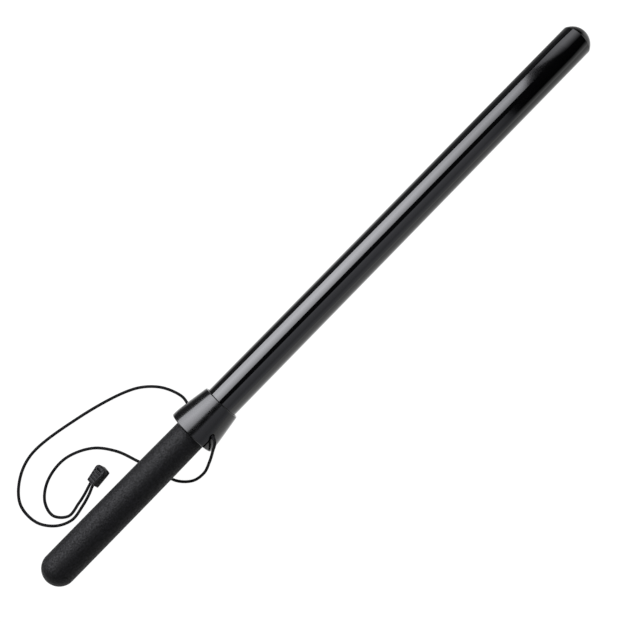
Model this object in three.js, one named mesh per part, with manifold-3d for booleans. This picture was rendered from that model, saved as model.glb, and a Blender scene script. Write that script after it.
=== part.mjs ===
// Straight baton with a conical hand guard, a rubber grip and an elastic wrist cord. Millimetres, +Z up.
// The baton is drawn along +X from its butt, then laid down on its guard and its tip.
import * as THREE from 'three';
import { mergeVertices } from 'three/addons/utils/BufferGeometryUtils.js';
import Module from 'manifold-3d';

const wasm = await Module();
wasm.setup();

// ---- driving sizes ----
const LENGTH = 610;
const MIDDLE = 304.96; // butt to frame origin, along the floor
const FACETS = 64;
const GAP = 0.3;

const SHAFT_START = 187.1;
const SHAFT_R = [14.16, 13.85]; // at the guard, at the tip
const TUBE_BORE_R = 11.8;
const CREASE_X = 601;
const DOME_R = 15.1;
const PLUG_SPIGOT = 20;

const CORE_R = 11.5;
const CORE_START = 7.3;
const CORE_END = 262;

const GRIP_END = 158.6;
const GRIP_WALL_START = 7.0;
const BUTT_DEPTH = 13;
const GRIP_SWELL = [[34, 14.22], [54, 14.23], [92, 14.15], [116, 14.06], [131, 13.95], [147, 13.81]];
const GRIP_LIP_R = 13.7;

const GUARD_REAR = 158.95;
const GUARD_FRONT = 192.8;
const GUARD_LAND_END = 163.5;
const GUARD_RIM_R = 20.8;
const GUARD_NOSE_R = 16.45;
const GUARD_SOCKET = 6;
const HOLE_X = 170.3;
const HOLE_ANGLE = 41.6; // degrees off straight up, towards -Y
const HOLE_R = 1.7;
const SLIT_WIDTH = 1.3;

const CORD_R = 1.2;
const END_AT = [-231.1, 24.55]; // middle of the cord end's mouth, on its back face
const END_HEADING = 5.4;
const END_ROLL = 42;
// Each row: how far along the cord end, half its width there, and how high its back face stands.
const END_PLAN = [
  [0, 3.6, 0.7], [0.7, 3.95, 0.1], [1.6, 4.1, 0], [12, 5.85, 0],
  [13.1, 5.75, 0.3], [14.2, 5.1, 1.4], [15.1, 4.1, 2.4], [15.6, 3, 3.4],
];
const END_THICK = 9.6;
const END_KEEL = 1.6; // half width of the back face between its two slopes
const PARTING = 7.8;
const STRAND_V = 1.85;
const STRAND_W = 6.2;
const NOTCH_HALF = 1.45;
const HINGE_U = 13.7;
const HINGE_W = 7.6;
const HINGE_R = 2;
const KNUCKLE_HALF = 3;
const TRUNNION_R = 0.9;
const TRUNNION_HOLE_R = 1.0;
const GROOVES = [1.5, 4.5, 7.2, 10];

// The cord's middle line, from one end inside the cord end to the other, in the row frame.
const CORD_ROUTE = [
  [-227.98, 27.63, 6.92], [-231.41, 27.31, 6.92], [-239.6, 24.3, 5.4], [-250.8, 21.6, 1.7], [-264, 19.9, 1.25],
  [-276.4, 25.7, 1.25], [-285.3, 39, 1.25], [-284.3, 57.6, 1.25], [-271, 72, 1.25], [-250, 79.9, 1.25],
  [-203, 73.7, 1.25], [-162, 61.4, 1.25], [-148.3, 53.3, 1.25], [-138.1, 41.6, 1.25], [-132.7, 26, 1.35],
  [-134.1, 17.3, 2.6], [-134.9, 13.3, 5.75], [-134.8, 9.3, 10.2], [-134.5, -9.3, 31.2], [-134.4, -13.4, 35.7],
  [-134.85, -15.2, 37.2], [-136.15, -17.4, 37.5], [-138.2, -19.1, 36], [-142.2, -21, 30.8],
  [-152, -25.6, 17.8], [-164, -29.3, 6], [-174.5, -27.4, 2], [-183.5, -18.7, 1.35], [-188.5, -3.9, 1.25],
  [-194.4, 15.2, 1.25], [-200.6, 33, 1.25], [-212.6, 48.8, 1.25], [-234, 58.4, 1.25], [-255.8, 55.6, 1.25],
  [-269.3, 45.3, 1.25], [-272.3, 33, 1.25], [-263.9, 24, 1.25], [-251.2, 25.4, 1.6], [-243, 26.9, 3.2],
  [-231.67, 30.05, 4.44], [-228.24, 30.37, 4.44],
];

// ---- materials ----
const GLOSS_BLACK = { color: '#0b0b0c', roughness: 0.16, metalness: 0 };
const SATIN_BLACK = { color: '#101011', roughness: 0.3, metalness: 0 };
const RUBBER_BLACK = { color: '#1d1d1e', roughness: 0.72, metalness: 0 };
const CORD_BLACK = { color: '#141415', roughness: 0.8, metalness: 0 };
const CLIP_BLACK = { color: '#19191b', roughness: 0.5, metalness: 0 };
const CORE_BLACK = { color: '#161617', roughness: 0.55, metalness: 0 };

// ---- helpers ----
const radians = THREE.MathUtils.degToRad;

function toSolid(geometry) {
  const bare = geometry.clone();
  bare.deleteAttribute('normal');
  bare.deleteAttribute('uv');
  const merged = mergeVertices(bare, 1e-5);
  return new wasm.Manifold(new wasm.Mesh({
    numProp: 3,
    vertProperties: new Float32Array(merged.attributes.position.array),
    triVerts: new Uint32Array(merged.index.array),
  }));
}

function toGeometry(solid) {
  const mesh = solid.getMesh();
  const geometry = new THREE.BufferGeometry();
  geometry.setAttribute('position', new THREE.BufferAttribute(new Float32Array(mesh.vertProperties), 3));
  geometry.setIndex(new THREE.BufferAttribute(new Uint32Array(mesh.triVerts), 1));
  return geometry;
}

// Turns a list of [x, radius] points about the X axis.
function turned(profile, facets = FACETS) {
  const points = profile.map(([x, r]) => new THREE.Vector2(r, x));
  const geometry = new THREE.LatheGeometry(points, facets);
  geometry.rotateZ(-Math.PI / 2);
  return toSolid(geometry);
}

function rod(radius, length, facets) {
  return toSolid(new THREE.CylinderGeometry(radius, radius, length, facets));
}

function box(low, high) {
  const size = high.map((value, i) => value - low[i]);
  return wasm.Manifold.cube(size).translate(low);
}

function arc(centreX, centreR, radius, from, to, steps) {
  const points = [];
  for (let i = 0; i <= steps; i += 1) {
    const angle = radians(from + ((to - from) * i) / steps);
    points.push([centreX + radius * Math.cos(angle), centreR + radius * Math.sin(angle)]);
  }
  return points;
}

// ---- baton pieces, butt at x = 0 ----
function shaftTube() {
  const bevel = 0.5;
  return turned([
    [SHAFT_START, TUBE_BORE_R], [SHAFT_START, SHAFT_R[0] - bevel], [SHAFT_START + bevel, SHAFT_R[0]],
    [CREASE_X - 0.15, SHAFT_R[1]], [CREASE_X - 0.15, TUBE_BORE_R], [SHAFT_START, TUBE_BORE_R],
  ]);
}

function tipCap() {
  const centre = LENGTH - DOME_R;
  const creaseAngle = THREE.MathUtils.radToDeg(Math.acos((CREASE_X - centre) / DOME_R));
  const dome = arc(centre, 0, DOME_R, creaseAngle, 0, 10);
  const dowel = CREASE_X - PLUG_SPIGOT;
  return turned([
    [dowel, 0], [dowel, CORE_R - 1], [dowel + 1, CORE_R], [CREASE_X + 0.15, CORE_R], [CREASE_X + 0.15, SHAFT_R[1]],
    ...dome.slice(1, -1), [LENGTH, 0],
  ]);
}

function crossHole() {
  const drill = rod(HOLE_R, 60, 24).rotate([90, 0, 0]);
  return drill.rotate([HOLE_ANGLE, 0, 0]).translate([HOLE_X, 0, 0]);
}

function handleCore() {
  const blank = turned([
    [CORE_START, 0], [CORE_START, 8.9], [CORE_START + 2.6, CORE_R], [CORE_END - 1, CORE_R], [CORE_END, CORE_R - 1],
    [CORE_END, 0],
  ], 48);
  return blank.subtract(crossHole());
}

function guard() {
  const noseRound = 0.9;
  const socketFloor = GUARD_FRONT - GUARD_SOCKET;
  const socketR = SHAFT_R[0] + GAP;
  const blank = turned([
    [GUARD_REAR, TUBE_BORE_R], [GUARD_REAR, GUARD_RIM_R - 1.2],
    ...arc(GUARD_REAR + 1.2, GUARD_RIM_R - 1.2, 1.2, 150, 90, 2),
    [GUARD_LAND_END, GUARD_RIM_R], [166.5, 20.5], [169.5, 20.12], [172.5, 19.68],
    ...arc(GUARD_FRONT - noseRound, GUARD_NOSE_R - noseRound + 0.1, noseRound, 80, 0, 4),
    [GUARD_FRONT, socketR + 0.2], [GUARD_FRONT - 0.2, socketR],
    [socketFloor, socketR], [socketFloor, TUBE_BORE_R], [GUARD_REAR, TUBE_BORE_R],
  ]);
  const slit = box([GUARD_REAR - 1, -SLIT_WIDTH / 2, -30], [HOLE_X, SLIT_WIDTH / 2, 30]).rotate([HOLE_ANGLE, 0, 0]);
  return blank.subtract(crossHole()).subtract(slit);
}

function gripSleeve() {
  const butt = [];
  for (const x of [0.25, 0.9, 1.9, 3.3, 5.1, 7.3, 9.8, 13]) {
    const rest = (BUTT_DEPTH - x) / BUTT_DEPTH;
    butt.push([x, 14.2 * Math.sqrt(1 - rest ** 1.92)]);
  }
  return turned([
    [0, 0], ...butt, ...GRIP_SWELL, [GRIP_END - 0.7, GRIP_LIP_R + 0.05], [GRIP_END, GRIP_LIP_R - 0.7],
    [GRIP_END, TUBE_BORE_R], [GRIP_WALL_START + 2.8, TUBE_BORE_R], [GRIP_WALL_START, 9], [GRIP_WALL_START, 0],
  ]);
}

// ---- cord end pieces: u along the clip from its mouth, v across, w up from its back face ----
function endSection(half, base, low, high) {
  const shoulder = Math.max(base, (half - END_KEEL) * Math.tan(radians(END_ROLL)));
  if (low >= shoulder) return [[-half, low], [half, low], [half, high], [-half, high]];
  return [[-END_KEEL, base], [END_KEEL, base], [half, shoulder], [half, high], [-half, high], [-half, shoulder]];
}

// The whole outline of the cord end between two heights.
function endBlock(low, high) {
  const corners = [];
  for (const [u, half, base] of END_PLAN) {
    for (const [v, w] of endSection(half, base, low, high)) corners.push([u, v, w]);
  }
  return wasm.Manifold.hull(corners);
}

function pinAcross(radius, from, to, facets = 32) {
  return rod(radius, to - from, facets).translate([HINGE_U, (from + to) / 2, HINGE_W]);
}

function onBothSides(make) {
  return [-1, 1].map((side) => make(...[side * KNUCKLE_HALF, side * 6].sort((a, b) => a - b), side));
}

function cordEndShell() {
  let shell = endBlock(0, PARTING - GAP / 2);
  shell = shell.subtract(box([HINGE_U, -6, PARTING - 4], [HINGE_U + 4, 6, 10]));
  shell = shell.subtract(box([1.8, -3.1, 3.2], [11, 3.1, 10]));
  for (const centre of [-STRAND_V, STRAND_V]) {
    const notch = toSolid(new THREE.CylinderGeometry(NOTCH_HALF, NOTCH_HALF, 4, 24)).rotate([0, 0, 90]);
    shell = shell.subtract(notch.translate([0.5, centre, STRAND_W]));
    shell = shell.subtract(box([-1, centre - NOTCH_HALF, STRAND_W], [2.4, centre + NOTCH_HALF, 10]));
  }
  const web = box([HINGE_U - 1.4, -KNUCKLE_HALF, 3.5], [HINGE_U + HINGE_R, KNUCKLE_HALF, HINGE_W]);
  const knuckle = pinAcross(HINGE_R, -KNUCKLE_HALF, KNUCKLE_HALF).add(web);
  shell = shell.add(knuckle.intersect(endBlock(0, END_THICK)));
  const pockets = onBothSides((from, to) => pinAcross(HINGE_R + GAP, from, to).add(
    box([HINGE_U, from, HINGE_W - HINGE_R - GAP], [20, to, 12]),
  ));
  for (const pocket of pockets) shell = shell.subtract(pocket);
  return shell.subtract(pinAcross(TRUNNION_HOLE_R, -6, 6));
}

function cordEndLid() {
  const outline = endBlock(0, END_THICK);
  let lid = endBlock(PARTING + GAP / 2, END_THICK).subtract(box([HINGE_U, -6, 0], [20, 6, 12]));
  const reach = KNUCKLE_HALF + GAP;
  lid = lid.subtract(box([HINGE_U - HINGE_R - GAP, -reach, 0], [20, reach, 12]));
  const cheeks = onBothSides((from, to, side) => pinAcross(HINGE_R, from, to).translate([0, side * GAP, 0]));
  for (const cheek of cheeks) lid = lid.add(cheek.intersect(outline));
  for (const u of GROOVES) {
    const groove = toSolid(new THREE.CylinderGeometry(0.85, 0.85, 6.4 + 0.3 * u, 4));
    lid = lid.subtract(groove.translate([u, 0, END_THICK + 0.1]));
  }
  return lid.add(pinAcross(TRUNNION_R, -4.3, 4.3));
}

function cordKnot() {
  const wraps = 4;
  const pitch = 1.5;
  const profile = [[-0.4, 0]];
  for (let i = 0; i < wraps; i += 1) {
    for (const angle of [155, 120, 90, 60, 25]) {
      profile.push([(i + 0.5) * pitch + 0.82 * Math.cos(radians(angle)), 1.75 + 0.82 * Math.sin(radians(angle))]);
    }
  }
  profile.push([wraps * pitch + 0.4, 0]);
  return turned(profile, 24).scale([1, 1.05, 0.68]).translate([4.3, 0, 5.15]);
}

// ---- cord ----
function wristCord() {
  const route = new THREE.CatmullRomCurve3(CORD_ROUTE.map((p) => new THREE.Vector3(...p)), false, 'centripetal');
  route.getUtoTmapping = (u) => u; // samples follow the route points, which are closer in the bends
  const section = new THREE.Shape();
  for (let i = 0; i < 8; i += 1) {
    const angle = radians(45 * i + 22.5);
    const move = i === 0 ? 'moveTo' : 'lineTo';
    section[move](CORD_R * Math.cos(angle), CORD_R * Math.sin(angle));
  }
  section.closePath();
  return toSolid(new THREE.ExtrudeGeometry(section, { steps: 2 * (CORD_ROUTE.length - 1), extrudePath: route }));
}

// ---- placing ----
const object = new THREE.Group();
object.name = 'baton';

function place(name, solid, look, matrix) {
  const geometry = toGeometry(solid);
  if (matrix) geometry.applyMatrix4(matrix);
  geometry.computeVertexNormals();
  const mesh = new THREE.Mesh(geometry, new THREE.MeshStandardMaterial(look));
  mesh.name = name;
  object.add(mesh);
}

// Tips the baton until the guard's rim and the tip's crease are level, with the guard's lowest point at z = 0.
function layDown() {
  const tilt = Math.atan2(GUARD_RIM_R - SHAFT_R[1], CREASE_X - GUARD_LAND_END);
  const lift = GUARD_RIM_R * Math.cos(tilt) + GUARD_LAND_END * Math.sin(tilt);
  const matrix = new THREE.Matrix4().makeRotationY(tilt);
  matrix.setPosition(-MIDDLE, 0, lift);
  return matrix;
}

function layCordEnd() {
  const turn = new THREE.Matrix4().makeRotationZ(radians(END_HEADING));
  const roll = new THREE.Matrix4().makeRotationX(-radians(END_ROLL));
  return turn.multiply(roll).setPosition(...END_AT, END_KEEL * Math.sin(radians(END_ROLL)));
}

const onFloor = layDown();
const atCordEnd = layCordEnd();
place('shaft_tube', shaftTube(), GLOSS_BLACK, onFloor);
place('tip_cap', tipCap(), GLOSS_BLACK, onFloor);
place('handle_core', handleCore(), CORE_BLACK, onFloor);
place('guard', guard(), SATIN_BLACK, onFloor);
place('grip_sleeve', gripSleeve(), RUBBER_BLACK, onFloor);
place('wrist_cord', wristCord(), CORD_BLACK);
place('cord_end_shell', cordEndShell(), CLIP_BLACK, atCordEnd);
place('cord_end_lid', cordEndLid(), CLIP_BLACK, atCordEnd);
place('cord_knot', cordKnot(), CORD_BLACK, atCordEnd);

export default object;
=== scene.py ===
import math

import bmesh
import bpy
from mathutils import Matrix, Vector


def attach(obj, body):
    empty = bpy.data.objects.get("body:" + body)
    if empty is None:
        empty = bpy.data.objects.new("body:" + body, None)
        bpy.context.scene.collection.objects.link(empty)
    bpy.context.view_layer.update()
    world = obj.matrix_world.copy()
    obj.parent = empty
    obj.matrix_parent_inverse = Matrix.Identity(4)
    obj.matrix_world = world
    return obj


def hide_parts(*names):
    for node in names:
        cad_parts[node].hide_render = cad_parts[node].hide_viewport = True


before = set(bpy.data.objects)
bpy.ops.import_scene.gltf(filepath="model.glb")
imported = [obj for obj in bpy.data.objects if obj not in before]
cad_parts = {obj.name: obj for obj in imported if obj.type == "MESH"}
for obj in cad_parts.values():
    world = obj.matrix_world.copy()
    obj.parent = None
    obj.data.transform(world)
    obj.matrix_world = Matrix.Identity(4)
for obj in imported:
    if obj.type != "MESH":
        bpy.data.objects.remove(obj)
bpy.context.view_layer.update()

MM = 0.001

# ---- driving sizes, in millimetres and degrees; places along the baton are measured from its butt ----
LENGTH = 610
MIDDLE = 304.96
SHAFT_START = 187.1
SHAFT_R = (14.16, 13.85)
TUBE_BORE_R = 11.8
CREASE_X = 601
SEAM_GAP = 0.02
DOME_R = 15.1
PLUG_SPIGOT = 20
CORE_R = 11.5
GRIP_END = 158.6
GRIP_WALL_START = 7.0
BUTT_DEPTH = 13
BUTT_R = 14.2
BUTT_POWER = 1.92
GRIP_SWELL = [(34, 14.22), (54, 14.23), (92, 14.15), (116, 14.06), (131, 13.95), (147, 13.81)]
GRIP_LIP_R = 13.7
GRIP_LIP_ROUND = 0.9
GUARD_REAR = 158.95
GUARD_FRONT = 192.8
GUARD_LAND_END = 163.5
GUARD_RIM_R = 20.8
GUARD_NOSE_R = 16.45
GUARD_SOCKET = 6
GUARD_FLARE = (
    (165.2, 20.68), (167, 20.46), (169, 20.19), (171, 19.9),
    (173.5, 19.52), (180, 18.51), (186, 17.58), (190.5, 16.88),
)
HOLE_X = 170.3
HOLE_ANGLE = 41.6
HOLE_R = 1.7
SLIT_WIDTH = 1.3

# ---- the cord end, in millimetres: u along it from its mouth, v across, w up from its back face ----
# Each row of END_PLAN is (u, half width, height of the back face).
END_AT = (-231.1, 24.55)
END_HEADING = 5.4
END_ROLL = 42
END_PLAN = (
    (0, 3.6, 0.7), (0.7, 3.95, 0.1), (1.6, 4.1, 0), (12, 5.85, 0),
    (13.1, 5.75, 0.3), (14.2, 5.1, 1.4), (15.1, 4.1, 2.4), (15.6, 3, 3.4),
)
END_THICK = 9.6
END_KEEL = 1.6
PARTING = 7.8
STRAND_V = 1.85
STRAND_W = 6.2
NOTCH_HALF = 1.45
HINGE_U = 13.7
HINGE_W = 7.6
HINGE_R = 2
KNUCKLE_HALF = 3
TRUNNION_R = 0.9
TRUNNION_HOLE_R = 1.0
GROOVES = (1.5, 4.5, 7.2, 10)
LID_GROOVE_R = 0.8
SIDE_GROOVE_HALF = 0.4
SIDE_GROOVE_DEPTH = 0.35
SPAN_V = 6
GAP = 0.3
KNOT_W = 5.3
KNOT_CORD_R = 0.6
KNOT_COIL_R = 1.38
KNOT_TURNS = 4.5

# ---- the cord, in metres in the frame ----
CORD_DIAMETER = 0.0024
CORD_ROUTE = [
    (-0.22798, 0.02763, 0.00692), (-0.23141, 0.02731, 0.00692), (-0.2396, 0.0243, 0.0054),
    (-0.2508, 0.0216, 0.0017), (-0.264, 0.0199, 0.00125), (-0.2764, 0.0257, 0.00125),
    (-0.2853, 0.039, 0.00125), (-0.2843, 0.0576, 0.00125), (-0.271, 0.072, 0.00125),
    (-0.25, 0.0799, 0.00125), (-0.203, 0.0737, 0.00125), (-0.162, 0.0614, 0.00125),
    (-0.1483, 0.0533, 0.00125), (-0.1381, 0.0416, 0.00125), (-0.1327, 0.026, 0.00135),
    (-0.1341, 0.0173, 0.0026), (-0.1349, 0.0133, 0.00575), (-0.1348, 0.0093, 0.0102),
    (-0.1345, -0.0093, 0.0312), (-0.1344, -0.0134, 0.0357), (-0.13485, -0.0152, 0.0372),
    (-0.13615, -0.0174, 0.0375), (-0.1382, -0.0191, 0.036), (-0.1422, -0.021, 0.0308),
    (-0.152, -0.0256, 0.0178), (-0.164, -0.0293, 0.006), (-0.1745, -0.0274, 0.002),
    (-0.1835, -0.0187, 0.00135), (-0.1885, -0.0039, 0.00125), (-0.1944, 0.0152, 0.00125),
    (-0.2006, 0.033, 0.00125), (-0.2126, 0.0488, 0.00125), (-0.234, 0.0584, 0.00125),
    (-0.2558, 0.0556, 0.00125), (-0.2693, 0.0453, 0.00125), (-0.2723, 0.033, 0.00125),
    (-0.2639, 0.024, 0.00125), (-0.2512, 0.0254, 0.0016), (-0.243, 0.0269, 0.0032),
    (-0.23167, 0.03005, 0.00444), (-0.22824, 0.03037, 0.00444),
]

# ---- lights, in metres and degrees: corners, peak radiance, and the share of it left each way ----
KEY_TINT = (0.945, 0.95, 1.0)
FILL_TINT = (0.9, 0.91, 1.0)
SHEET_DISTANCE = 0.9
SHEET_CENTRE_Z = 0.02
KEY_CORNERS = ((-0.9, 18), (0.586, 15.2), (-0.9, 92), (0.586, 79))
KEY_PEAK = 12.3
KEY_ACROSS = ((0, 0.42), (0.11, 0.56), (0.31, 0.78), (0.52, 0.96), (0.6, 0.96), (0.75, 0.86), (1, 0.72))
KEY_LENGTH = ((0, 0.8), (0.49, 0.9), (0.68, 1), (0.8, 0.89), (0.91, 0.69), (1, 0.62))
END_CORNERS = ((0.68, 2), (1.7, 2), (0.6, 80), (1.7, 80))
END_PEAK = 2.8
END_ACROSS = ((0, 0.03), (0.14, 0.2), (0.3, 0.46), (0.46, 0.72), (0.63, 0.96), (0.82, 0.9), (1, 0.85))
END_LENGTH = ((0, 0.6), (0.05, 1), (1, 1))
FILL_CORNERS = ((-0.9, -7), (0.53, -12.5), (-0.9, -74), (0.53, -74))
FILL_PEAK = 1.15
FILL_ACROSS = ((0, 1), (0.1, 0.95), (0.24, 0.8), (0.45, 0.7), (0.66, 0.54), (0.9, 0.74), (1, 0.85))
FILL_LENGTH = ((0, 1), (0.95, 1), (1, 0.6))


# ---- camera ----
def make_camera():
    """Looks almost straight down, rolled so that the baton rises to the right."""
    lean = math.radians(2.3)
    roll = math.radians(45.62)
    aim = Vector((-0.0109, -0.00095, 0.01878))
    distance = 0.793
    along = Vector((math.cos(lean), 0, math.sin(lean)))
    across = Vector((0, -1, 0))
    right = along * math.cos(roll) + across * math.sin(roll)
    up = along * math.sin(roll) - across * math.cos(roll)
    back = Vector((-math.sin(lean), 0, math.cos(lean)))
    data = bpy.data.cameras.new("camera")
    data.lens = 57.6
    data.sensor_width = 36
    data.clip_start = 0.01
    camera = bpy.data.objects.new("camera", data)
    bpy.context.scene.collection.objects.link(camera)
    place = aim + back * distance
    turn = Matrix((right, up, back)).transposed()
    camera.matrix_world = Matrix.Translation(place) @ turn.to_4x4()
    bpy.context.scene.camera = camera


# ---- where the pieces lie ----
def baton_matrix():
    """Lays the baton down on its guard's rim and its tip."""
    tilt = math.atan2(GUARD_RIM_R - SHAFT_R[1], CREASE_X - GUARD_LAND_END)
    lift = GUARD_RIM_R * math.cos(tilt) + GUARD_LAND_END * math.sin(tilt)
    place = Matrix.Translation(Vector((-MIDDLE, 0, lift)) * MM)
    return place @ Matrix.Rotation(tilt, 4, "Y") @ Matrix.Scale(MM, 4)


def cord_end_matrix():
    """Lays the cord end down on one side of its keel."""
    lift = END_KEEL * math.sin(math.radians(END_ROLL))
    place = Matrix.Translation(Vector((*END_AT, lift)) * MM)
    turn = Matrix.Rotation(math.radians(END_HEADING), 4, "Z")
    roll = Matrix.Rotation(-math.radians(END_ROLL), 4, "X")
    return place @ turn @ roll @ Matrix.Scale(MM, 4)


# ---- mesh helpers ----
def add_object(name, mesh):
    piece = bpy.data.objects.new(name, mesh)
    bpy.context.scene.collection.objects.link(piece)
    return piece


def mesh_from(name, vertices, faces):
    mesh = bpy.data.meshes.new(name)
    mesh.from_pydata(vertices, [], faces)
    form = bmesh.new()
    form.from_mesh(mesh)
    bmesh.ops.recalc_face_normals(form, faces=form.faces)
    form.to_mesh(mesh)
    form.free()
    return mesh


def smooth(mesh, angle=32):
    """Shades a mesh smooth, except over edges sharper than the angle."""
    mesh.shade_smooth()
    mesh.set_sharp_from_angle(angle=math.radians(angle))


def arc(centre, radius, start, end, steps):
    """Points along an arc, from a start angle to an end angle in degrees."""
    points = []
    for i in range(steps + 1):
        angle = math.radians(start + (end - start) * i / steps)
        points.append((centre[0] + radius * math.cos(angle), centre[1] + radius * math.sin(angle)))
    return points


def lathe(name, profile, segments=160):
    """Turns (x, radius) points about X. The profile closes on itself, or starts and ends on the axis."""
    vertices = []
    rings = []
    for x, r in profile:
        if r < 1e-6:
            rings.append([len(vertices)] * segments)
            vertices.append((x, 0, 0))
            continue
        rings.append(list(range(len(vertices), len(vertices) + segments)))
        for i in range(segments):
            angle = 2 * math.pi * i / segments
            vertices.append((x, r * math.sin(angle), r * math.cos(angle)))
    closed = profile[0][1] > 1e-6
    pairs = list(zip(rings, rings[1:]))
    if closed:
        pairs.append((rings[-1], rings[0]))
    faces = []
    for near, far in pairs:
        for i in range(segments):
            j = (i + 1) % segments
            corners = [near[i], near[j], far[j], far[i]]
            faces.append(list(dict.fromkeys(corners)))
    return mesh_from(name, vertices, faces)


def prism(name, section, low, high, axis):
    """Pushes a 2-D outline from low to high along an axis: 0 gives (x, a, b), 1 gives (a, y, b)."""
    vertices = []
    for level in (low, high):
        for a, b in section:
            vertices.append((level, a, b) if axis == 0 else (a, level, b))
    count = len(section)
    faces = [list(range(count))[::-1], list(range(count, 2 * count))]
    for i in range(count):
        j = (i + 1) % count
        faces.append([i, j, j + count, i + count])
    return mesh_from(name, vertices, faces)


def disc(centre, radius, count=48):
    angles = [2 * math.pi * i / count for i in range(count)]
    return [(centre[0] + radius * math.cos(a), centre[1] + radius * math.sin(a)) for a in angles]


def block(low, high):
    """A box between two opposite corners."""
    section = [(low[1], low[2]), (high[1], low[2]), (high[1], high[2]), (low[1], high[2])]
    return prism("block", section, low[0], high[0], 0)


def combine(piece, mesh, operation):
    """Adds, cuts or meets a mesh with a piece, in the piece's own units."""
    tool = add_object("tool", mesh)
    modifier = piece.modifiers.new("combine", "BOOLEAN")
    modifier.operation = operation
    modifier.solver = "EXACT"
    modifier.object = tool
    settle(piece)
    bpy.data.objects.remove(tool)


def settle(piece):
    """Turns a piece's modifiers into its mesh."""
    bpy.context.view_layer.update()
    graph = bpy.context.evaluated_depsgraph_get()
    mesh = bpy.data.meshes.new_from_object(piece.evaluated_get(graph))
    piece.modifiers.clear()
    piece.data = mesh


def soften(piece, width, angle=40, segments=2):
    """Rounds a piece's sharp edges."""
    modifier = piece.modifiers.new("edges", "BEVEL")
    modifier.width = width
    modifier.segments = segments
    modifier.limit_method = "ANGLE"
    modifier.angle_limit = math.radians(angle)
    modifier.use_clamp_overlap = True
    settle(piece)


def finish_piece(piece, matrix, material, body, node):
    """Puts a piece in its place, gives it its material, hangs it on its body and hides the CAD part that it
    stands in for.
    """
    piece.data.transform(matrix)
    piece.data.materials.clear()
    piece.data.materials.append(material)
    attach(piece, body)
    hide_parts(node)


# ---- material helpers ----
class Nodes:
    """Adds and links shader nodes in one tree."""

    def __init__(self, tree):
        self.tree = tree

    def add(self, kind, inputs=None, **settings):
        node = self.tree.nodes.new(kind)
        for name, value in settings.items():
            setattr(node, name, value)
        for name, value in (inputs or {}).items():
            if isinstance(value, bpy.types.NodeSocket):
                self.tree.links.new(value, node.inputs[name])
            else:
                node.inputs[name].default_value = value
        return node


def new_material(name, base, roughness, specular=0.5):
    material = bpy.data.materials.new(name)
    material.use_nodes = True
    nodes = Nodes(material.node_tree)
    shader = material.node_tree.nodes["Principled BSDF"]
    shader.inputs["Base Color"].default_value = (*base, 1)
    shader.inputs["Roughness"].default_value = roughness
    shader.inputs["Specular IOR Level"].default_value = specular
    shader.inputs["IOR"].default_value = 1.5
    place = nodes.add("ShaderNodeTexCoord").outputs["Object"]
    return material, nodes, shader, place


def vary(nodes, factor, low, high, from_low=0.3, from_high=0.7):
    """Runs from low to high, and no further, as the factor goes from from_low to from_high."""
    scale = nodes.add("ShaderNodeMapRange", {
        "Value": factor, "From Min": from_low, "From Max": from_high, "To Min": low, "To Max": high,
    })
    return scale.outputs["Result"]


def noise(nodes, place, scale, detail=3.0, stretch=None):
    """Cloudy noise, drawn out along an axis whose stretch is small."""
    where = place
    if stretch:
        where = nodes.add("ShaderNodeMapping", {"Vector": place, "Scale": stretch}).outputs["Vector"]
    texture = nodes.add("ShaderNodeTexNoise", {"Vector": where, "Scale": scale, "Detail": detail})
    return texture.outputs["Fac"]


def shade_mix(nodes, factor, dark, light):
    """A colour between dark and light."""
    mix = nodes.add("ShaderNodeMix", data_type="RGBA")
    nodes.tree.links.new(factor, mix.inputs[0])
    mix.inputs[6].default_value = (*dark, 1)
    mix.inputs[7].default_value = (*light, 1)
    return mix.outputs[2]


def bump(nodes, shader, height, distance, strength=1.0, under=None):
    """Gives a shader a bump, on top of another one where under is given."""
    inputs = {"Height": height, "Distance": distance, "Strength": strength}
    if under:
        inputs["Normal"] = under
    node = nodes.add("ShaderNodeBump", inputs)
    nodes.tree.links.new(node.outputs["Normal"], shader.inputs["Normal"])
    return node.outputs["Normal"]


# ---- materials ----
def gloss_plastic():
    """Polished black plastic with faint lengthways draw lines and handling haze."""
    material, nodes, shader, place = new_material("gloss_black_plastic", (0.0003, 0.0003, 0.0003), 0.07)
    haze = noise(nodes, place, 40, 4, (0.25, 1, 1))
    nodes.tree.links.new(vary(nodes, haze, 0.05, 0.09), shader.inputs["Roughness"])
    tone = shade_mix(nodes, haze, (0.0005, 0.0005, 0.0005), (0.0011, 0.0011, 0.0012))
    nodes.tree.links.new(tone, shader.inputs["Base Color"])
    lines = noise(nodes, place, 900, 2, (0.02, 1, 1))
    bump(nodes, shader, lines, 0.000004, 0.35)
    return material


def satin_plastic():
    """Moulded black plastic with a fine, even satin grain."""
    base = (0.0008, 0.0008, 0.0008)
    material, nodes, shader, place = new_material("satin_black_plastic", base, 0.2, 0.41)
    cloud = noise(nodes, place, 90, 3)
    nodes.tree.links.new(vary(nodes, cloud, 0.17, 0.22), shader.inputs["Roughness"])
    tone = shade_mix(nodes, cloud, (0.0004, 0.0004, 0.0004), (0.001, 0.001, 0.0011))
    nodes.tree.links.new(tone, shader.inputs["Base Color"])
    grain = noise(nodes, place, 3500, 2)
    bump(nodes, shader, grain, 0.000008, 0.35)
    return material


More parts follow.
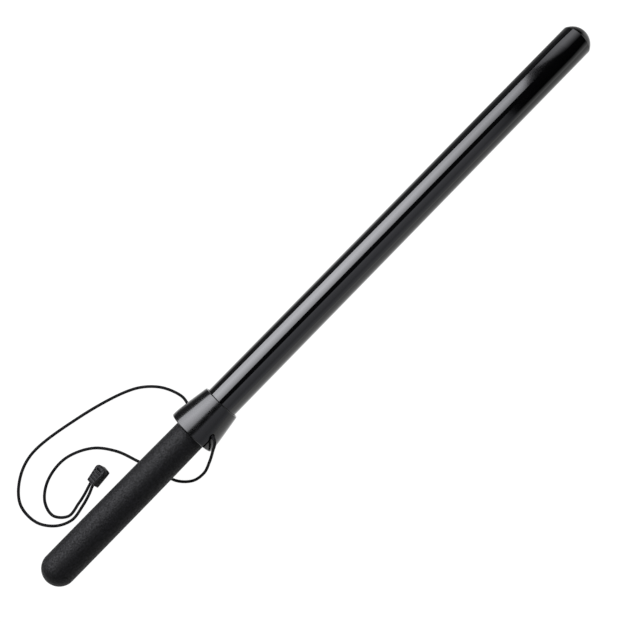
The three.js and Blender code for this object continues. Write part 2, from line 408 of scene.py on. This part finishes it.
def grip_rubber():
    """Matte black rubber with a pebbled skin."""
    material, nodes, shader, place = new_material("grip_rubber", (0.002, 0.002, 0.0021), 0.6, 0.115)
    mottle = noise(nodes, place, 620, 2)
    share = vary(nodes, mottle, 0, 1, 0.36, 0.64)
    tone = shade_mix(nodes, share, (0.0002, 0.0002, 0.0002), (0.0027, 0.0027, 0.0031))
    nodes.tree.links.new(tone, shader.inputs["Base Color"])
    nodes.tree.links.new(vary(nodes, mottle, 0.72, 0.46), shader.inputs["Roughness"])
    pebbles = nodes.add("ShaderNodeTexVoronoi", {"Vector": place, "Scale": 850.0}, feature="SMOOTH_F1")
    coarse = bump(nodes, shader, mottle, 0.0004, 0.9)
    bump(nodes, shader, pebbles.outputs["Distance"], 0.0002, 0.7, coarse)
    return material


def braided_elastic():
    """Black braid over an elastic core: diagonal yarns laid on the cord's own length and girth."""
    material, nodes, shader, place = new_material("braided_elastic", (0.002, 0.002, 0.0022), 0.75, 0.08)
    girth = nodes.add("ShaderNodeUVMap", uv_map="cord").outputs["UV"]
    ways = []
    for turn in (math.radians(38), math.radians(-38)):
        where = nodes.add("ShaderNodeMapping", {"Vector": girth, "Rotation": (0, 0, turn)})
        wave = nodes.add("ShaderNodeTexWave", {
            "Vector": where.outputs["Vector"], "Scale": 0.75, "Distortion": 0.4, "Detail": 1.0,
        })
        ways.append(wave.outputs["Fac"])
    weave = nodes.add("ShaderNodeMath", {0: ways[0], 1: ways[1]}, operation="MAXIMUM").outputs["Value"]
    tone = shade_mix(nodes, weave, (0.0006, 0.0006, 0.0007), (0.0026, 0.0026, 0.0029))
    nodes.tree.links.new(tone, shader.inputs["Base Color"])
    bump(nodes, shader, weave, 0.00012, 0.8)
    return material


def clip_plastic():
    """Fine-grained black clip plastic, a little shinier where it has been handled."""
    material, nodes, shader, place = new_material("clip_plastic", (0.003, 0.003, 0.0033), 0.5, 0.12)
    cloud = noise(nodes, place, 500, 3)
    nodes.tree.links.new(vary(nodes, cloud, 0.42, 0.58), shader.inputs["Roughness"])
    tone = shade_mix(nodes, cloud, (0.002, 0.002, 0.0022), (0.0045, 0.0045, 0.005))
    nodes.tree.links.new(tone, shader.inputs["Base Color"])
    grain = noise(nodes, place, 5000, 2)
    bump(nodes, shader, grain, 0.00002, 0.4)
    return material


def core_plastic():
    """Turned black plastic with fine lathe rings."""
    material, nodes, shader, place = new_material("core_plastic", (0.004, 0.004, 0.0043), 0.45, 0.3)
    cloud = noise(nodes, place, 120, 3)
    nodes.tree.links.new(vary(nodes, cloud, 0.38, 0.52), shader.inputs["Roughness"])
    rings = noise(nodes, place, 1500, 1, (1, 0.02, 0.02))
    bump(nodes, shader, rings, 0.00003, 0.4)
    return material


# ---- baton pieces ----
def make_shaft():
    """The tube, bevelled in the guard's socket and with a fine seam against the tip plug."""
    bevel = 0.5
    seam = 0.12
    steps = 24
    end = CREASE_X - SEAM_GAP
    profile = [(SHAFT_START, TUBE_BORE_R), (SHAFT_START, SHAFT_R[0] - bevel)]
    for i in range(steps):
        share = i / steps
        profile.append((
            SHAFT_START + bevel + (CREASE_X - SHAFT_START - bevel) * share,
            SHAFT_R[0] + (SHAFT_R[1] - SHAFT_R[0]) * share,
        ))
    profile += arc((end - seam, SHAFT_R[1] - seam), seam, 90, 0, 3)
    profile += [(end, TUBE_BORE_R)]
    return add_object("shaft", lathe("shaft", profile, 192))


def make_tip():
    """The domed plug, on a spigot that goes into the tube."""
    centre = LENGTH - DOME_R
    crease_angle = math.degrees(math.acos((CREASE_X - centre) / DOME_R))
    spigot = CREASE_X - PLUG_SPIGOT
    start = CREASE_X + SEAM_GAP
    profile = [(spigot, 0), (spigot, CORE_R - 1), (spigot + 1, CORE_R), (start, CORE_R)]
    profile += [(start, SHAFT_R[1] - 0.1), (start + 0.05, SHAFT_R[1] - 0.03)]
    profile += arc((centre, 0), DOME_R, crease_angle - 0.6, 0, 28)[:-1]
    profile += [(LENGTH, 0)]
    return add_object("tip_plug", lathe("tip_plug", profile, 192))


def hole_cutter():
    """The cord's cross hole, with its edges eased where it breaks out."""
    out = 19.0
    end = 30
    wide = HOLE_R + 1.1
    half = [(0, HOLE_R), (out, HOLE_R), (out + 0.7, HOLE_R + 0.25), (out + 1.6, wide), (end, wide)]
    profile = [(-end, 0)] + [(-x, r) for x, r in reversed(half[1:])] + half + [(end, 0)]
    mesh = lathe("hole", profile, 48)
    mesh.transform(Matrix.Rotation(math.radians(-90), 4, "Y"))
    mesh.transform(Matrix.Rotation(math.radians(HOLE_ANGLE), 4, "X"))
    mesh.transform(Matrix.Translation((HOLE_X, 0, 0)))
    return mesh


def slit_cutter():
    """The slit from the hole to the rear rim, a little wider at the skin."""
    half = SLIT_WIDTH / 2
    mouth = half + 0.15
    low, high = 19.9, 21.2
    section = [(-half, 0), (half, 0), (half, low), (mouth, high), (-mouth, high), (-half, low)]
    return prism("slit", section, GUARD_REAR - 2, HOLE_X, 0)


def make_guard():
    """The conical guard, with its socket, its cross hole and the slit beside each of the hole's mouths."""
    rim_round = 1.2
    nose_round = 0.95
    bore_r = TUBE_BORE_R + 0.1
    socket_floor = GUARD_FRONT - GUARD_SOCKET
    socket_r = SHAFT_R[0] + GAP
    profile = [(GUARD_REAR, bore_r), (GUARD_REAR, GUARD_RIM_R - rim_round)]
    profile += arc((GUARD_REAR + rim_round, GUARD_RIM_R - rim_round), rim_round, 170, 95, 6)
    profile += [(GUARD_LAND_END - 1.5, GUARD_RIM_R), (GUARD_LAND_END, GUARD_RIM_R - 0.03)]
    profile += GUARD_FLARE
    profile += arc((GUARD_FRONT - nose_round, GUARD_NOSE_R - nose_round + 0.1), nose_round, 82, 0, 7)
    profile += [(GUARD_FRONT, socket_r + 0.55), (GUARD_FRONT - 0.9, socket_r + 0.3)]
    profile += [(GUARD_FRONT - 1, socket_r), (socket_floor, socket_r), (socket_floor, bore_r)]
    piece = add_object("hand_guard", lathe("hand_guard", profile, 160))
    combine(piece, hole_cutter(), "DIFFERENCE")
    for turn in (HOLE_ANGLE, HOLE_ANGLE + 180):
        cutter = slit_cutter()
        cutter.transform(Matrix.Rotation(math.radians(turn), 4, "X"))
        combine(piece, cutter, "DIFFERENCE")
    return piece


def make_grip():
    """The rubber sleeve, closed and rounded at the butt, and slightly swelled along its length."""
    profile = [(0, 0)]
    steps = 26
    for i in range(1, steps + 1):
        angle = math.radians(90 * i / steps)
        x = BUTT_DEPTH * (1 - math.cos(angle))
        rest = (BUTT_DEPTH - x) / BUTT_DEPTH
        profile.append((x, BUTT_R * math.sqrt(1 - rest ** BUTT_POWER)))
    profile += GRIP_SWELL
    profile += arc((GRIP_END - GRIP_LIP_ROUND, GRIP_LIP_R - 0.85), GRIP_LIP_ROUND, 84, 5, 5)
    profile += [(GRIP_END, TUBE_BORE_R + 0.2), (GRIP_END - 0.2, TUBE_BORE_R)]
    profile += [(GRIP_WALL_START + 2.8, TUBE_BORE_R), (GRIP_WALL_START, 9), (GRIP_WALL_START, 0)]
    return add_object("grip", lathe("grip", profile, 160))


# ---- cord end pieces ----
def end_section(half, base, low, high):
    """One cross section, as (v, w): square above its shoulder, and sloped in to a flat keel below it."""
    shoulder = max(base, (half - END_KEEL) * math.tan(math.radians(END_ROLL)))
    if low >= shoulder:
        return [(-half, low), (half, low), (half, high), (-half, high)]
    keel = [(-END_KEEL, base), (END_KEEL, base)]
    return keel + [(half, shoulder), (half, high), (-half, high), (-half, shoulder)]


def end_block(low, high):
    """The whole outline of the cord end between two heights."""
    form = bmesh.new()
    for u, half, base in END_PLAN:
        for v, w in end_section(half, base, low, high):
            form.verts.new((u, v, w))
    hull = bmesh.ops.convex_hull(form, input=form.verts)
    inner = [item for item in hull["geom_interior"] if isinstance(item, bmesh.types.BMVert)]
    bmesh.ops.delete(form, geom=inner, context="VERTS")
    bmesh.ops.dissolve_limit(form, angle_limit=math.radians(1), verts=form.verts, edges=form.edges)
    mesh = bpy.data.meshes.new("end_block")
    form.to_mesh(mesh)
    form.free()
    return mesh


def pin_across(radius, low, high):
    """A round bar on the lid's hinge axis."""
    return prism("pin", disc((HINGE_U, HINGE_W), radius), low, high, 1)


def both_sides(start):
    """The spans of v from start outwards, on each side."""
    return ((-SPAN_V, -start), (start, SPAN_V))


def make_clip_shell():
    """The box of the cord end: hollow, with a notch for each cord and the knuckle that the lid turns on."""
    piece = add_object("clip_shell", end_block(0, PARTING - GAP / 2))
    combine(piece, block((HINGE_U, -SPAN_V, PARTING - 4), (HINGE_U + 4, SPAN_V, 10)), "DIFFERENCE")
    combine(piece, block((1.8, -3.1, 3.2), (11, 3.1, 10)), "DIFFERENCE")
    for centre in (-STRAND_V, STRAND_V):
        notch = disc((centre, STRAND_W), NOTCH_HALF, 32)
        left, right = centre - NOTCH_HALF, centre + NOTCH_HALF
        combine(piece, prism("notch", notch, -1, 2.5, 0), "DIFFERENCE")
        combine(piece, block((-1, left, STRAND_W), (2.4, right, 10)), "DIFFERENCE")
    knuckle = add_object("knuckle", pin_across(HINGE_R, -KNUCKLE_HALF, KNUCKLE_HALF))
    web = block((HINGE_U - 1.4, -KNUCKLE_HALF, 3.5), (HINGE_U + HINGE_R, KNUCKLE_HALF, HINGE_W))
    combine(knuckle, web, "UNION")
    combine(knuckle, end_block(0, END_THICK), "INTERSECT")
    combine(piece, knuckle.data, "UNION")
    bpy.data.objects.remove(knuckle)
    for low, high in both_sides(KNUCKLE_HALF):
        combine(piece, pin_across(HINGE_R + GAP, low, high), "DIFFERENCE")
        combine(piece, block((HINGE_U, low, HINGE_W - HINGE_R - GAP), (20, high, 12)), "DIFFERENCE")
    combine(piece, pin_across(TRUNNION_HOLE_R, -SPAN_V, SPAN_V), "DIFFERENCE")
    soften(piece, 0.3)
    rib_side_faces(piece)
    return piece


def rib_side_faces(piece):
    """Carries the lid's grooves down the shell's two side faces."""
    (start, narrow, _), (end, wide, _) = END_PLAN[2:4]
    for u in GROOVES:
        edge = narrow + (wide - narrow) * (u - start) / (end - start) - SIDE_GROOVE_DEPTH
        near, far = u - SIDE_GROOVE_HALF, u + SIDE_GROOVE_HALF
        combine(piece, block((near, edge, 0), (far, edge + 2, 12)), "DIFFERENCE")
        combine(piece, block((near, -edge - 2, 0), (far, -edge, 12)), "DIFFERENCE")


def make_clip_lid():
    """The lid, with grooves across its top and a cheek and a pin each side of the shell's knuckle."""
    piece = add_object("clip_lid", end_block(PARTING + GAP / 2, END_THICK))
    combine(piece, block((HINGE_U, -7, 0), (20, 7, 12)), "DIFFERENCE")
    reach = KNUCKLE_HALF + GAP
    combine(piece, block((HINGE_U - HINGE_R - GAP, -reach, 0), (20, reach, 12)), "DIFFERENCE")
    for low, high in both_sides(reach):
        cheek = add_object("cheek", pin_across(HINGE_R, low, high))
        combine(cheek, end_block(0, END_THICK), "INTERSECT")
        combine(piece, cheek.data, "UNION")
        bpy.data.objects.remove(cheek)
    for u in GROOVES:
        groove = disc((u, END_THICK - 0.2), LID_GROOVE_R, 12)
        half = 3.2 + 0.15 * u
        combine(piece, prism("groove", groove, -half, half, 1), "DIFFERENCE")
    soften(piece, 0.25)
    combine(piece, pin_across(TRUNNION_R, -4.3, 4.3), "UNION")
    return piece


# ---- cord pieces ----
def centripetal(points, steps):
    """Points along the centripetal Catmull-Rom curve through the given points."""
    points = [Vector(p) for p in points]
    ends = [points[0] * 2 - points[1]] + points + [points[-1] * 2 - points[-2]]
    line = []
    for i in range(len(points) - 1):
        before, here, there, after = ends[i:i + 4]
        gaps = [(b - a).length ** 0.5 for a, b in ((before, here), (here, there), (there, after))]
        middle = (there - here) / gaps[1]
        leave = (here - before) / gaps[0] - (there - before) / (gaps[0] + gaps[1]) + middle
        arrive = middle - (after - here) / (gaps[1] + gaps[2]) + (after - there) / gaps[2]
        leave *= gaps[1]
        arrive *= gaps[1]
        for j in range(steps):
            t = j / steps
            cubic = 2 * here - 2 * there + leave + arrive
            square = 3 * there - 3 * here - 2 * leave - arrive
            line.append(here + leave * t + square * t ** 2 + cubic * t ** 3)
    line.append(points[-1])
    return line


def spaced(line, step):
    """The same line with its points an even step apart."""
    total = along(line)
    count = max(2, round(total / step))
    out = [line[0]]
    gone = 0.0
    want = total / count
    for a, b in zip(line, line[1:]):
        length = (b - a).length
        while gone + length >= want * len(out) and len(out) < count:
            out.append(a.lerp(b, (want * len(out) - gone) / length))
        gone += length
    out.append(line[-1])
    return out


def tube(name, line, radius, sides, unit=1.0):
    """A closed tube along a line, with a UV map in millimetres of length and girth."""
    vertices = []
    faces = []
    steps = [(b - a).normalized() for a, b in zip(line[:-1], line[1:])]
    tangents = [steps[0]] + [(a + b).normalized() for a, b in zip(steps, steps[1:])] + [steps[-1]]
    side = tangents[0].orthogonal().normalized()
    for point, tangent in zip(line, tangents):
        side = (side - tangent * side.dot(tangent)).normalized()
        other = tangent.cross(side)
        for i in range(sides):
            angle = 2 * math.pi * i / sides
            vertices.append(point + (side * math.cos(angle) + other * math.sin(angle)) * radius)
    for k in range(len(line) - 1):
        for i in range(sides):
            j = (i + 1) % sides
            a, b = k * sides, (k + 1) * sides
            faces.append([a + i, a + j, b + j, b + i])
    last = (len(line) - 1) * sides
    faces.append(list(range(sides))[::-1])
    faces.append([last + i for i in range(sides)])
    mesh = bpy.data.meshes.new(name)
    mesh.from_pydata(vertices, [], faces)
    layer = mesh.uv_layers.new(name="cord")
    step = (line[1] - line[0]).length / unit * 1000
    girth = 2 * math.pi * radius / unit * 1000
    for face in mesh.polygons[:-2]:
        k, i = divmod(face.index, sides)
        for corner, (du, dv) in zip(face.loop_indices, ((0, 0), (0, 1), (1, 1), (1, 0))):
            layer.data[corner].uv = ((k + du) * step, (i + dv) / sides * girth)
    smooth(mesh, 50)
    return mesh


def along(line):
    """A line's length."""
    return sum((b - a).length for a, b in zip(line, line[1:]))


def make_cords():
    """The cord's halves, each with its line, from the middle of the guard's cross hole to the cord end."""
    line = spaced(centripetal(CORD_ROUTE, 24), 0.0005)
    middle = min(range(len(line)), key=lambda i: abs(line[i].y) + 10 * (line[i].z < 0.01))
    halves = []
    for name, half in (("cord_outer", line[middle::-1]), ("cord_inner", line[middle:])):
        halves.append((add_object(name, tube(name, half, CORD_DIAMETER / 2, 20)), half))
    return halves


def make_knot():
    """A barrel knot: one run through the middle, then wound back over itself."""
    start, end = 4.7, 9.9
    points = [Vector((4.2 + 0.5 * i, 0, 0)) for i in range(12)]
    steps = 150
    for i in range(steps + 1):
        share = i / steps
        out = KNOT_COIL_R * min(1, 6 * share)
        angle = 2 * math.pi * KNOT_TURNS * share
        u = end - (end - start) * share + (0.3 if share < 0.04 else 0)
        points.append(Vector((u, out * math.cos(angle), out * math.sin(angle))))
    line = spaced([p + Vector((0, 0, KNOT_W)) for p in points], 0.12)
    return add_object("knot", tube("knot", line, KNOT_CORD_R, 16, 1000))


# ---- stage ----
def make_floor():
    """White to look at. In reflections it glows less towards the tip, and is dark on the key light's side."""
    half = 6
    dark = 0.03
    corners = [(-half, -half, 0), (half, -half, 0), (half, half, 0), (-half, half, 0)]
    mesh = bpy.data.meshes.new("floor")
    mesh.from_pydata(corners, [], [(0, 1, 2, 3)])
    floor = add_object("floor", mesh)
    material = bpy.data.materials.new("floor_white")
    material.use_nodes = True
    nodes = Nodes(material.node_tree)
    shader = material.node_tree.nodes["Principled BSDF"]
    shader.inputs["Base Color"].default_value = (dark, dark, dark, 1)
    shader.inputs["Roughness"].default_value = 0.9
    shader.inputs["Specular IOR Level"].default_value = 0.0
    shader.inputs["Emission Color"].default_value = (1, 1, 1, 1)
    place = nodes.add("ShaderNodeTexCoord").outputs["Object"]
    parts = nodes.add("ShaderNodeSeparateXYZ", {"Vector": place})
    key_side = vary(nodes, parts.outputs["X"], 1.6, 0.35, from_low=0.05, from_high=0.2)
    fill_side = vary(nodes, parts.outputs["X"], 1.15, 0.76, from_low=-0.1, from_high=0.28)
    side = vary(nodes, parts.outputs["Y"], 0, 1, from_low=-0.006, from_high=0.006)
    glow = nodes.add("ShaderNodeMix", {0: side, 2: fill_side, 3: key_side}, data_type="FLOAT").outputs[0]
    flag = vary(nodes, parts.outputs["Y"], 0, 1, from_low=0.018, from_high=0.058)
    flagged = nodes.add("ShaderNodeMix", {0: flag, 2: glow, 3: dark}, data_type="FLOAT").outputs[0]
    seen = nodes.add("ShaderNodeLightPath").outputs["Is Camera Ray"]
    level = nodes.add("ShaderNodeMix", {0: seen, 2: flagged, 3: 1.0}, data_type="FLOAT").outputs[0]
    nodes.tree.links.new(level, shader.inputs["Emission Strength"])
    mesh.materials.append(material)


def ramp(nodes, factor, stops):
    """A run of levels, given as (place, level) pairs for factors from 0 to 1."""
    node = nodes.add("ShaderNodeValToRGB", {"Fac": factor})
    node.color_ramp.interpolation = "LINEAR"
    marks = node.color_ramp.elements
    while len(marks) < len(stops):
        marks.new(0.5)
    for mark, (place, level) in zip(marks, stops):
        mark.position = place
        mark.color = (level, level, level, 1)
    return node.outputs["Color"]


def make_softbox(name, corners, peak, across, length, tint):
    """A bright sheet curved round the baton, seen only in reflections and as light.

    corners holds (x, degrees off straight up towards +Y) for its start and end at its upper edge, then at
    its lower. across and length are (place, level) pairs, the share of the peak radiance left each way.
    """
    strips = 24
    (x0, a0), (x1, a1), (x2, a2), (x3, a3) = corners
    vertices = []
    for i in range(strips + 1):
        share = i / strips
        for x_top, x_low, a_top, a_low in ((x0, x2, a0, a2), (x1, x3, a1, a3)):
            lean = math.radians(a_top + (a_low - a_top) * share)
            x = x_top + (x_low - x_top) * share
            y = SHEET_DISTANCE * math.sin(lean)
            vertices.append((x, y, SHEET_CENTRE_Z + SHEET_DISTANCE * math.cos(lean)))
    faces = [(2 * i, 2 * i + 1, 2 * i + 3, 2 * i + 2) for i in range(strips)]
    mesh = bpy.data.meshes.new(name)
    mesh.from_pydata(vertices, [], faces)
    layer = mesh.uv_layers.new(name="sheet")
    for face in mesh.polygons:
        for corner in face.loop_indices:
            strip, end = divmod(mesh.loops[corner].vertex_index, 2)
            layer.data[corner].uv = (end, strip / strips)
    sheet = add_object(name, mesh)
    sheet.visible_camera = False
    material = bpy.data.materials.new(name)
    material.use_nodes = True
    nodes = Nodes(material.node_tree)
    material.node_tree.nodes.clear()
    place = nodes.add("ShaderNodeUVMap", uv_map="sheet").outputs["UV"]
    parts = nodes.add("ShaderNodeSeparateXYZ", {"Vector": place})
    share = nodes.add("ShaderNodeMath", {
        0: ramp(nodes, parts.outputs["Y"], across), 1: ramp(nodes, parts.outputs["X"], length),
    }, operation="MULTIPLY").outputs["Value"]
    level = nodes.add("ShaderNodeMath", {0: share, 1: peak}, operation="MULTIPLY").outputs["Value"]
    glow = nodes.add("ShaderNodeEmission", {"Color": (*tint, 1), "Strength": level})
    nodes.add("ShaderNodeOutputMaterial", {"Surface": glow.outputs["Emission"]})
    mesh.materials.append(material)


def make_world():
    """A dark room, with a pale wall low on the -Y side."""
    world = bpy.data.worlds.new("studio")
    bpy.context.scene.world = world
    world.use_nodes = True
    nodes = Nodes(world.node_tree)
    world.node_tree.nodes.clear()
    way = nodes.add("ShaderNodeTexCoord").outputs["Generated"]
    parts = nodes.add("ShaderNodeSeparateXYZ", {"Vector": way})
    low = vary(nodes, parts.outputs["Z"], 1.25, 0, from_low=0.08, from_high=0.5)
    side = vary(nodes, parts.outputs["Y"], 1, 0, from_low=-0.35, from_high=0.1)
    wall = nodes.add("ShaderNodeMath", {0: low, 1: side}, operation="MULTIPLY").outputs["Value"]
    seen = nodes.add("ShaderNodeLightPath").outputs["Is Camera Ray"]
    level = nodes.add("ShaderNodeMix", {0: seen, 2: wall, 3: 1.0}, data_type="FLOAT").outputs[0]
    light = nodes.add("ShaderNodeBackground", {"Color": (1, 1, 1, 1), "Strength": level})
    nodes.add("ShaderNodeOutputWorld", {"Surface": light.outputs["Background"]})


# ---- build ----
bpy.context.scene.view_settings.view_transform = "Standard"
make_camera()
BRAID = braided_elastic()
CLIP = clip_plastic()
GLOSS = gloss_plastic()

cords = make_cords()
for cord, line in cords:
    finish_piece(cord, Matrix(), BRAID, "baton", "wrist_cord")
END = cord_end_matrix()
knot = make_knot()
finish_piece(knot, END, BRAID, "baton", "cord_knot")
clip_shell = make_clip_shell()
smooth(clip_shell.data)
finish_piece(clip_shell, END, CLIP, "baton", "cord_end_shell")
clip_lid = make_clip_lid()
smooth(clip_lid.data)
finish_piece(clip_lid, END, CLIP, "cord_end_cover", "cord_end_lid")

LAID = baton_matrix()
BATON_PIECES = (
    (make_shaft, GLOSS, "shaft_tube", "shaft_plastic"),
    (make_tip, GLOSS, "tip_cap", "shaft_plastic"),
    (make_guard, satin_plastic(), "guard", "guard_plastic"),
    (make_grip, grip_rubber(), "grip_sleeve", "grip_rubber"),
)
for make, finish, node, slot in BATON_PIECES:
    piece = make()
    smooth(piece.data, 24)
    finish_piece(piece, LAID, finish, "baton", node)

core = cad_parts["handle_core"]
core.material_slots[0].material = core_plastic()

make_floor()
make_softbox("key_light", KEY_CORNERS, KEY_PEAK, KEY_ACROSS, KEY_LENGTH, KEY_TINT)
make_softbox("end_light", END_CORNERS, END_PEAK, END_ACROSS, END_LENGTH, KEY_TINT)
make_softbox("fill_light", FILL_CORNERS, FILL_PEAK, FILL_ACROSS, FILL_LENGTH, FILL_TINT)
make_world()
